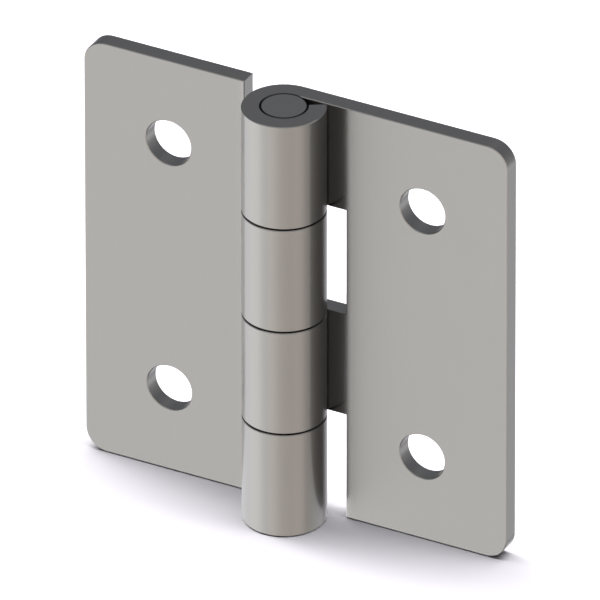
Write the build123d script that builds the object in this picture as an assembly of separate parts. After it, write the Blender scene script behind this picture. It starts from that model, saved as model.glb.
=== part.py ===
from build123d import *
import math
import os

# Leaf hinge of stainless sheet, open flat and standing on its lower edges.
# The origin is on the pin's axis at the hinge's lower end. +Z runs up along the pin,
# +X points along the right leaf, and +Y is the side that lies on the door and its frame.
# Each leaf is one blank of sheet. Its tongues are rolled round the pin into knuckles,
# and the knuckles of one leaf fill the cut-outs of the other.

# Sheet and pin
sheet_thickness = 2.0
pin_diameter = 4.9
pin_clearance = 0.05
pin_end_break = 0.06

# Leaves, measured from the pin's axis and along it
leaf_height = 50.0
leaf_reach = 25.0
corner_radius = 2.5
rim_break = 0.08

# Knuckles, numbered from 0 at the top: the right leaf has the even ones
knuckle_count = 4
knuckle_gap = 0.2
cutout_clearance = 1.5
curl_end_gap = 0.135

# Screw holes
hole_diameter = 5.3
hole_spacing_across = 30.0
hole_spacing_along = 30.0

bore_radius = pin_diameter / 2 + pin_clearance
barrel_radius = bore_radius + sheet_thickness
cutout_reach = barrel_radius + cutout_clearance
knuckle_pitch = leaf_height / knuckle_count
sheet_middle = bore_radius + sheet_thickness / 2

# Cutting tools run past the sheet by this much
overcut = sheet_thickness

# The roll starts at the back, tangent to the flat sheet, and turns past the front
# until its outer corner almost meets the flat sheet again
roll_start = 90
roll_end = math.degrees(math.asin((bore_radius - curl_end_gap) / barrel_radius))
roll_turn = 360 + roll_end - roll_start


def rolled_sheet():
    """A leaf before its cut-outs: flat sheet that rolls once round the pin."""
    with BuildPart() as sheet:
        with BuildSketch(Plane.XY):
            with BuildLine():
                outside = CenterArc((0, 0), barrel_radius, roll_start, roll_turn)
                inside = CenterArc((0, 0), bore_radius, roll_start, roll_turn)
                Line(outside @ 1, inside @ 1)
                Polyline(inside @ 0, (leaf_reach, bore_radius), (leaf_reach, barrel_radius), outside @ 0)
            make_face()
        extrude(amount=leaf_height)
    return sheet.part


def cutout(number):
    """The window in one leaf that takes knuckle number of the other leaf."""
    top = leaf_height - number * knuckle_pitch + knuckle_gap / 2
    bottom = leaf_height - (number + 1) * knuckle_pitch - knuckle_gap / 2
    if number == 0:
        top += overcut
    if number == knuckle_count - 1:
        bottom -= overcut
    width = cutout_reach + barrel_radius + overcut
    depth = 2 * (barrel_radius + overcut)
    return Pos(cutout_reach - width / 2, 0, (top + bottom) / 2) * Box(width, depth, top - bottom)


def screw_hole(height):
    """A drill through the flat of the leaf at that height."""
    place = Pos(hole_spacing_across / 2, sheet_middle, height)
    return place * Rot(90, 0, 0) * Cylinder(hole_diameter / 2, sheet_thickness + 2 * overcut)


def is_free_corner(edge):
    """True for the two edges through the sheet at the leaf's far side."""
    centre = edge.center()
    at_far_side = abs(centre.X - leaf_reach) < 1e-6
    through_sheet = abs(centre.Y - sheet_middle) < 1e-6 and abs(edge.length - sheet_thickness) < 1e-6
    return at_far_side and through_sheet


def is_skin(face):
    """True for the two sides of the sheet, flat or rolled, and False for its cut edges."""
    if face.geom_type == GeomType.PLANE:
        return abs(face.normal_at().Y) > 0.99
    axis = face.axis_of_rotation
    return abs(axis.direction.Z) > 0.99 and math.hypot(axis.position.X, axis.position.Y) < 1e-6


def leaf(first_knuckle):
    """A leaf on the +X side that keeps every second knuckle, from first_knuckle on."""
    sheet = rolled_sheet()
    for number in range(1 - first_knuckle, knuckle_count, 2):
        sheet -= cutout(number)
    for side in (-1, 1):
        sheet -= screw_hole(leaf_height / 2 + side * hole_spacing_along / 2)
    sheet = fillet([edge for edge in sheet.edges() if is_free_corner(edge)], corner_radius)

    # Tumbling takes the sharpness off every rim where a side of the sheet meets a cut edge
    skins = [face for face in sheet.faces() if is_skin(face)]
    rims = [edge for edge in sheet.edges() if sum(edge in skin.edges() for skin in skins) == 1]
    return chamfer(rims, rim_break)


def hinge_pin():
    """The plain round pin, flush with both ends of the barrel."""
    pin = Pos(0, 0, leaf_height / 2) * Cylinder(pin_diameter / 2, leaf_height)
    return chamfer(pin.edges().filter_by(GeomType.CIRCLE), pin_end_break)


pieces = {
    "right_leaf": leaf(first_knuckle=0),
    "left_leaf": mirror(leaf(first_knuckle=1), about=Plane.YZ),
    "hinge_pin": hinge_pin(),
}

os.makedirs("parts", exist_ok=True)
for name, piece in pieces.items():
    export_step(piece, f"parts/{name}.step")
    print(f"{name}: {len(piece.solids())} solid, {piece.volume:.1f} cubic mm, valid {piece.is_valid}")
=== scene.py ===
import math

import bpy
from mathutils import Matrix, Vector


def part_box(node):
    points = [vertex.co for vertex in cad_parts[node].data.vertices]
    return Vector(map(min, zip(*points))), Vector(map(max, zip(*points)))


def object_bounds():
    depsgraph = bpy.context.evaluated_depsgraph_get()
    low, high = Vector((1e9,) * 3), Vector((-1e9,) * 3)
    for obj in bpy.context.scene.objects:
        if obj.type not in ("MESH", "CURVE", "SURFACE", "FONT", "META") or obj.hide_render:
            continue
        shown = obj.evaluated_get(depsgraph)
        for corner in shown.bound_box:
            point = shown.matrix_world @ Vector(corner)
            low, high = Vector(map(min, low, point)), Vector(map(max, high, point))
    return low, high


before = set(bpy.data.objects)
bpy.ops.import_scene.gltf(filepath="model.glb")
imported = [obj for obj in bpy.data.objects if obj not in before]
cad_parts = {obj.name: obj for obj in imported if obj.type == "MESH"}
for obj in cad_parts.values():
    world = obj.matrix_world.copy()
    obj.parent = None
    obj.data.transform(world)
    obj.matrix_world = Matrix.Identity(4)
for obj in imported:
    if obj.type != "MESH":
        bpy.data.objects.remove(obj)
cad_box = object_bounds()
MM = 0.001


# Right leaf
# One blank of stainless sheet, its grain along the pin, with two of its tongues rolled round
# the pin. Tumbling with stones leaves its sides satin, and its cut edges clearer and a little
# darker. The ring round the pin is painted dark, as painted shade of the gap round it.
SHEET_SATIN = (0.665, 0.658, 0.645, 1.0)
SHEET_DULL = (0.64, 0.633, 0.622, 1.0)
# Painted shade: the dark of the gaps round the pin, painted on the bore's ring and on the pin's side
# and rim
PAINTED_GAP_SHADE = (0.09, 0.09, 0.09, 1.0)
SATIN_RANGE = (0.25, 0.75)

# Roughness, and how far each texture moves it from end to end
SHEET_ROUGHNESS = 0.18
EDGE_ROUGHNESS = 0.22
GRAIN_SWING = 0.05
MOTTLE_SWING = 0.04
TEARING_SWING = 0.12

# How much of the metal is haze on its sides and its cut edges, and how much rougher the haze
# is than the gloss
HAZE_SHARE = 0.65
EDGE_HAZE_SHARE = 0.3
HAZE_SPREAD = 0.30

# Textures: the size of their grains along X, Y and Z in millimetres, how fine their detail
# goes, and how far their seeds lie from the leaf's own
GRAIN = (0.09, 0.09, 6.0)
GRAIN_DETAIL = 4.0
MOTTLE = (5.0, 5.0, 9.0)
MOTTLE_DETAIL = 2.0
MOTTLE_SEED = 7
TEARING = (0.22, 0.22, 0.22)
TEARING_DETAIL = 3.0
TEARING_SEED = 13
NOISE_ROUGHNESS = 0.6

# The depth of a full relief in millimetres, and how much of it the sheet has
RELIEF_DEPTH = 0.02
SHEET_RELIEF = 0.025

# Soft edges by distance from the pin's axis, in millimetres: the painted gap shade ends past
# the bore's broken rim, the barrel ends, and the stones don't reach the corner beside it
pin_low, pin_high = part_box("hinge_pin")
cad_low, cad_high = cad_box
pin_radius = (pin_high.x - pin_low.x) / 2 / MM
barrel_radius = (cad_high.y - cad_low.y) / 2 / MM
GAP_SHADE_END = (pin_radius + 0.13, pin_radius + 0.21)
BARREL_END = (barrel_radius + 0.1, barrel_radius + 0.3)
STONES_REACH = (barrel_radius + 1.8, barrel_radius + 2.9)

# Soft edges by how squarely a face points: up or down for an end edge, and to the front or
# back for a side of the sheet
END_FACING = (0.4, 0.9)
SIDE_FACING = (0.3, 0.6)


class Shade:
    """A number, colour or vector on its way to a shader. Python's operators on it add Math nodes."""

    def __init__(self, tree, socket=None):
        self.tree = tree
        self.socket = socket

    def node(self, kind, settings=None, sockets=None, output=0):
        """Adds a node of that kind: its settings first, then its sockets' values or links."""
        made = self.tree.nodes.new("ShaderNode" + kind)
        settings = dict(settings or {})
        stops = settings.pop("stops", None)
        for name, value in settings.items():
            setattr(made, name, value)
        if stops:
            ramp = made.color_ramp
            for place, _ in stops[1:-1]:
                ramp.elements.new(place)
            for element, (place, colour) in zip(ramp.elements, stops):
                element.position = place
                element.color = (*colour, 1.0)
        for name, value in (sockets or {}).items():
            if isinstance(value, Shade):
                self.tree.links.new(value.socket, made.inputs[name])
            else:
                made.inputs[name].default_value = value
        return Shade(self.tree, made.outputs[output]) if made.outputs else None

    def maths(self, operation, *values):
        """A Math node on the values alone."""
        return self.node("Math", {"operation": operation}, dict(enumerate(values)))

    def __add__(self, other):
        return self.maths("ADD", self, other)

    def __sub__(self, other):
        return self.maths("SUBTRACT", self, other)

    def __rsub__(self, other):
        return self.maths("SUBTRACT", other, self)

    def __mul__(self, other):
        return self.maths("MULTIPLY", self, other)

    def __truediv__(self, other):
        return self.maths("DIVIDE", self, other)

    __radd__ = __add__
    __rmul__ = __mul__

    def along(self, letter):
        """The X, Y or Z of this vector."""
        return self.node("SeparateXYZ", None, {"Vector": self}, output=letter)

    def swing(self, amount):
        """This tone from 0 to 1 as a change of up to half of amount either way."""
        return (self - 0.5) * amount

    def band(self, low, high):
        """0 below low, 1 above high, and smooth between them."""
        limits = {"From Min": low, "From Max": high}
        return self.node("MapRange", {"interpolation_type": "SMOOTHSTEP"}, {"Value": self, **limits})

    def mix(self, colour_a, colour_b):
        """colour_a where this mask is 0, and colour_b where it is 1."""
        sockets = {0: self, 6: colour_a, 7: colour_b}
        return self.node("Mix", {"data_type": "RGBA"}, sockets, output=2)

    def blend(self, number_a, number_b):
        """number_a where this mask is 0, and number_b where it is 1."""
        return number_a * (1 - self) + number_b * self


def new_material(name):
    """An empty material and the start of its shader maths."""
    material = bpy.data.materials.new(name)
    material.use_nodes = True
    material.node_tree.nodes.clear()
    return material, Shade(material.node_tree)


def finish_metal(start, colour, roughness, bump, haze_share):
    """Bare metal over a fine relief: a clear gloss with a wide haze round it."""
    sockets = {"Base Color": colour, "Metallic": 1.0, "Normal": bump}
    gloss = start.node("BsdfPrincipled", None, {**sockets, "Roughness": roughness})
    haze = start.node("BsdfPrincipled", None, {**sockets, "Roughness": roughness + HAZE_SPREAD})
    metal = start.node("MixShader", None, {0: haze_share, 1: gloss, 2: haze})
    start.node("OutputMaterial", None, {"Surface": metal})


def stretched_noise(start, place, size, detail, seed):
    """Noise from 0 to 1 whose grains measure size millimetres along X, Y and Z."""
    scale = tuple(1 / (MM * length) for length in size)
    grains = start.node("Mapping", None, {"Vector": place, "Location": (seed, 0, 0), "Scale": scale})
    sockets = {"Vector": grains, "Scale": 1.0, "Detail": detail, "Roughness": NOISE_ROUGHNESS}
    return start.node("TexNoise", None, sockets)


def relief(start, strength, height):
    """A bump of the given strength for a shader's Normal."""
    sockets = {"Strength": strength, "Distance": RELIEF_DEPTH * MM, "Height": height}
    return start.node("Bump", None, sockets)


def from_axis(start, place):
    """Distance from the pin's axis in millimetres."""
    level = start.node("VectorMath", {"operation": "MULTIPLY"}, {0: place, 1: (1, 1, 0)})
    return start.node("VectorMath", {"operation": "LENGTH"}, {0: level}, output="Value") / MM


def sheet_steel(name, seed):
    """Satin stainless sheet: rolling grain on its sides, a sheared texture on its cut edges."""
    material, start = new_material(name)
    place = start.node("TexCoord", None, None, output="Object")
    grain = stretched_noise(start, place, GRAIN, GRAIN_DETAIL, seed)
    mottle = stretched_noise(start, place, MOTTLE, MOTTLE_DETAIL, seed + MOTTLE_SEED)
    tearing = stretched_noise(start, place, TEARING, TEARING_DETAIL, seed + TEARING_SEED)

    # Where the cut edges, the painted gap shade and the corner that the stones don't reach are
    normal = start.node("TexCoord", None, None, output="Normal")
    facing_front = 0 - normal.along("Y")
    reach = from_axis(start, place)
    past_barrel = reach.band(*BARREL_END)
    end_edge = start.maths("ABSOLUTE", normal.along("Z")).band(*END_FACING)
    side_edge = (1 - start.maths("ABSOLUTE", facing_front).band(*SIDE_FACING)) * past_barrel
    cut_edge = start.maths("MAXIMUM", end_edge, side_edge)
    # Painted shade of the gap round the pin, on the bore and its broken rim
    gap_shade = 1 - reach.band(*GAP_SHADE_END)
    sheltered = past_barrel * (1 - reach.band(*STONES_REACH)) * facing_front.band(*SIDE_FACING)

    satin = ((grain + mottle) / 2).band(*SATIN_RANGE).mix(SHEET_DULL, SHEET_SATIN)
    colour = gap_shade.mix(cut_edge.mix(satin, SHEET_DULL), PAINTED_GAP_SHADE)
    side_roughness = SHEET_ROUGHNESS + grain.swing(GRAIN_SWING) + mottle.swing(MOTTLE_SWING)
    roughness = cut_edge.blend(side_roughness, EDGE_ROUGHNESS + tearing.swing(TEARING_SWING))
    bump = relief(start, SHEET_RELIEF, cut_edge.blend(grain, tearing))
    haze_share = cut_edge.blend(HAZE_SHARE * (1 - sheltered), EDGE_HAZE_SHARE)
    finish_metal(start, colour, roughness, bump, haze_share)
    return material


right_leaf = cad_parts["right_leaf"]
right_leaf.material_slots[0].material = sheet_steel("right_leaf_satin_sheet", seed=3)


# Left leaf
# The same leaf turned end for end, so that its knuckles fill the cut-outs of the right
# leaf. It comes from elsewhere along the strip, and so does its grain.
left_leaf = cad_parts["left_leaf"]
left_leaf.material_slots[0].material = sheet_steel("left_leaf_satin_sheet", seed=41)


# Hinge pin
# Drawn stainless wire, cut to the height of the leaves and faced flush at both ends, where
# the facing tool leaves fine rings. Its side and the rim of its ends are painted dark as the
# shade of the gaps round it, and it turns with the right leaf.
PIN_STEEL = (0.63, 0.63, 0.625, 1.0)
PIN_DULL = (0.57, 0.57, 0.565, 1.0)
PIN_GRAIN_DETAIL = 3.0
PIN_ROUGHNESS = 0.20
TONE_SWING = 0.04
PIN_RELIEF = 0.05

# The soft edge of its face, in millimetres from the axis, past which it is painted with gap shade
PIN_RIM = (pin_radius - 0.14, pin_radius - 0.06)

# The facing rings: their pitch in millimetres, how far the grain bends them in radians, and
# how much of the tone comes from the rings and from the grain, about its middle
RING_PITCH = 0.11
RING_WANDER = 2.0
RING_TONE = 0.25
GRAIN_TONE = 0.5
MIDDLE_TONE = 0.5


def drawn_steel(name, seed):
    """Drawn and faced stainless: grain along the pin, rings on its ends, painted gap shade on its
    side.
    """
    material, start = new_material(name)
    place = start.node("TexCoord", None, None, output="Object")
    grain = stretched_noise(start, place, GRAIN, PIN_GRAIN_DETAIL, seed)
    radius = from_axis(start, place)
    rings = start.maths("SINE", radius * (2 * math.pi / RING_PITCH) + RING_WANDER * grain)
    tone = MIDDLE_TONE + RING_TONE * rings + grain.swing(GRAIN_TONE)
    # Past the rim, the pin is painted dark as the shade of the gaps round it
    colour = radius.band(*PIN_RIM).mix(tone.mix(PIN_DULL, PIN_STEEL), PAINTED_GAP_SHADE)
    roughness = PIN_ROUGHNESS + tone.swing(TONE_SWING)
    finish_metal(start, colour, roughness, relief(start, PIN_RELIEF, tone), HAZE_SHARE)
    return material


hinge_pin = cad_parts["hinge_pin"]
hinge_pin.material_slots[0].material = drawn_steel("hinge_pin_drawn_steel", seed=67)


# Floor
# A flat sheet of white paper, far larger than the hinge and a hair below its foot, which
# leaves a thin dark line there. The camera sees only the hinge's soft shadow on it.
FLOOR_WHITE = (0.905, 0.89, 0.925, 1.0)
FLOOR_SEEN = (1.605, 1.565, 1.65, 1.0)

# Half of the paper's side in metres, and its drop in millimetres
FLOOR_HALF = 3.0
FLOOR_DROP = 0.1


def floor_sheet(half):
    """One square of paper round the pin's axis, at the height of the hinge's foot."""
    mesh = bpy.data.meshes.new("floor_paper")
    corners = [(-half, -half, 0), (half, -half, 0), (half, half, 0), (-half, half, 0)]
    mesh.from_pydata(corners, [], [(0, 1, 2, 3)])
    sheet = bpy.data.objects.new("floor_paper", mesh)
    bpy.context.scene.collection.objects.link(sheet)
    return sheet


def floor_white():
    """White paper that the camera sees a little overexposed, so that only its shadow shows."""
    material, start = new_material("floor_white")
    seen = start.node("LightPath", None, None, output="Is Camera Ray")
    paper = start.node("BsdfDiffuse", None, {"Color": seen.mix(FLOOR_WHITE, FLOOR_SEEN)})
    start.node("OutputMaterial", None, {"Surface": paper})
    return material


floor = floor_sheet(FLOOR_HALF)
floor.data.materials.append(floor_white())
floor.location.z = -FLOOR_DROP * MM

# The steel mirrors the room's own table instead
floor.visible_glossy = False


# Studio
# An oval soft lamp overhead, a little behind and to the left, gives the narrow shadow at
# the hinge's foot. Only the steel sees the room: pale to the left, warm in front, dim to the
# right, with a dark back wall, a grey ceiling and a black ring on the table.
FILL = (0.04, 0.04, 0.043, 1.0)
BACKGROUND = (0.99, 0.99, 0.99, 1.0)

# The lamp's place and size in metres
LAMP_HEIGHT = 1.0
LAMP_WIDTH = 2.2
LAMP_DEPTH = 0.54
LAMP_LEFT = 0.25
LAMP_BACK = 0.09
LAMP_RADIANCE = 4.8

# Tones of the room all round the hinge, by compass: left, front, right, back, left again
ROOM_TONES = [
    (0.000, (0.97, 0.97, 0.99)),
    (0.060, (1.05, 1.05, 1.04)),
    (0.120, (1.04, 1.03, 0.99)),
    (0.173, (0.71, 0.715, 0.71)),
    (0.240, (0.80, 0.745, 0.70)),
    (0.300, (0.59, 0.54, 0.50)),
    (0.372, (0.53, 0.485, 0.45)),
    (0.430, (0.62, 0.565, 0.52)),
    (0.465, (0.58, 0.53, 0.49)),
    (0.500, (0.34, 0.32, 0.30)),
    (0.665, (0.56, 0.56, 0.575)),
    (0.705, (0.24, 0.24, 0.26)),
    (0.765, (0.86, 0.86, 0.90)),
    (0.850, (0.93, 0.93, 0.96)),
    (0.930, (1.03, 1.03, 1.06)),
    (1.000, (0.97, 0.97, 0.99)),
]

# The back wall stands to the left and behind, and leans. WALL_SIDE is its soft edge across
# its own plane. The other pairs are soft edges by height, from -1 straight down to 1 straight up.
BACK_WALL = (0.12, 0.124, 0.133, 1.0)
WALL_TURN = math.radians(46)
WALL_LEAN = 0.15
WALL_SIDE = (-0.03, 0.03)
WALL_FOOT = (-0.42, -0.12)
CEILING = (0.33, 0.33, 0.33, 1.0)
CEILING_EDGE = (0.67, 0.78)
TABLE_SHADE = (0.0, 0.0, 0.0, 1.0)
SHADE_TOP = (-0.76, -0.69)
SHADE_BOTTOM = (-0.97, -0.92)

# What steel shows where it is itself seen in steel: dim, with a pale place to the front left
INNER_DIM = (0.062, 0.059, 0.058, 1.0)
INNER_PALE = (1.05, 1.05, 1.05, 1.0)
PALE_START = (0.2, 0.42)
PALE_END = (0.68, 0.88)
PALE_BACK = (0.0, 0.2)

# Cycles counts a ray's bounces in whole numbers, and these lie between them
NO_BOUNCE = 0.5
ONE_BOUNCE = 1.5


def overhead_lamp():
    """An oval lamp that lights the floor. The steel mirrors the room, and not the lamp."""
    light = bpy.data.lights.new("overhead_lamp", "AREA")
    light.shape = "ELLIPSE"
    light.size = LAMP_WIDTH
    light.size_y = LAMP_DEPTH
    area = math.pi * LAMP_WIDTH * LAMP_DEPTH / 4
    light.energy = LAMP_RADIANCE * math.pi * area
    lamp = bpy.data.objects.new("overhead_lamp", light)
    lamp.location = (-LAMP_LEFT, LAMP_BACK, LAMP_HEIGHT)
    lamp.visible_camera = False
    lamp.visible_glossy = False
    bpy.context.scene.collection.objects.link(lamp)


def room_walls(start, along_x, along_y, height):
    """What the steel mirrors: the ring of tones, the back wall, the ceiling and the table."""
    compass = start.maths("ARCTAN2", along_y, along_x) / (2 * math.pi) + 0.5
    ring = start.node("ValToRGB", {"stops": ROOM_TONES}, {"Fac": compass})
    behind = along_y * math.cos(WALL_TURN) - along_x * math.sin(WALL_TURN) + WALL_LEAN * height
    back_wall = behind.band(*WALL_SIDE) * height.band(*WALL_FOOT)
    table = (1 - height.band(*SHADE_TOP)) * height.band(*SHADE_BOTTOM)
    sides = back_wall.mix(ring, BACK_WALL)
    return table.mix(height.band(*CEILING_EDGE).mix(sides, CEILING), TABLE_SHADE)


def room():
    """The world: white for the camera, an even fill for the floor, and the room for the steel."""
    world = bpy.data.worlds.new("studio_room")
    bpy.context.scene.world = world
    world.use_nodes = True
    world.node_tree.nodes.clear()
    start = Shade(world.node_tree)
    way = start.node("TexCoord", None, None, output="Generated")
    along_x = way.along("X")
    along_y = way.along("Y")
    walls = room_walls(start, along_x, along_y, way.along("Z"))

    leftward = 0 - along_x
    pale = leftward.band(*PALE_START) * (1 - leftward.band(*PALE_END)) * (1 - along_y.band(*PALE_BACK))
    bounces = start.node("LightPath", None, None, output="Glossy Depth")
    twice = start.maths("GREATER_THAN", bounces, ONE_BOUNCE)
    mirrored = twice.mix(walls, pale.mix(INNER_DIM, INNER_PALE))

    seen = start.node("LightPath", None, None, output="Is Camera Ray")
    glossy = start.node("LightPath", None, None, output="Is Glossy Ray")
    scattered = start.node("LightPath", None, None, output="Diffuse Depth")
    from_steel = glossy * start.maths("LESS_THAN", scattered, NO_BOUNCE)
    colour = seen.mix(from_steel.mix(FILL, mirrored), BACKGROUND)
    light = start.node("Background", None, {"Color": colour, "Strength": 1.0})
    start.node("OutputWorld", None, {"Surface": light})


overhead_lamp()
room()


# Camera
# A very long lens, because the picture is a parallel view: from the right of the front and
# well above. The hinge stands a little below and to the left of the picture's middle.
AZIMUTH = math.radians(27.78)
ELEVATION = math.radians(31.14)
ROLL = math.radians(-0.06)
LENS = 1700.0
SENSOR = 36.0

# The picture's width in pixels and its scale, and how far to the right of the pin's middle
# and above it the camera aims, in millimetres
PICTURE = 600
PIXELS_PER_MM = 9.547
SHIFT_RIGHT = 1.657
SHIFT_UP = 1.146


def camera():
    """A camera aimed beside the pin's middle, as far off as its lens needs for the photo's scale."""
    level = math.cos(ELEVATION)
    back = Vector((math.sin(AZIMUTH) * level, -math.cos(AZIMUTH) * level, math.sin(ELEVATION)))
    turn = (-back).to_track_quat("-Z", "Y")
    right = turn @ Vector((1, 0, 0))
    up = turn @ Vector((0, 1, 0))
    middle = Vector((0, 0, (cad_low.z + cad_high.z) / 2))
    aim = middle + right * (SHIFT_RIGHT * MM) + up * (SHIFT_UP * MM)
    width = PICTURE / PIXELS_PER_MM * MM
    data = bpy.data.cameras.new("camera")
    data.lens = LENS
    data.sensor_width = SENSOR
    made = bpy.data.objects.new("camera", data)
    bpy.context.scene.collection.objects.link(made)
    made.rotation_mode = "QUATERNION"
    made.rotation_quaternion = turn @ Matrix.Rotation(ROLL, 4, "Z").to_quaternion()
    made.location = aim + back * (width * LENS / SENSOR)
    bpy.context.scene.camera = made


camera()
bpy.context.scene.view_settings.view_transform = "Standard"
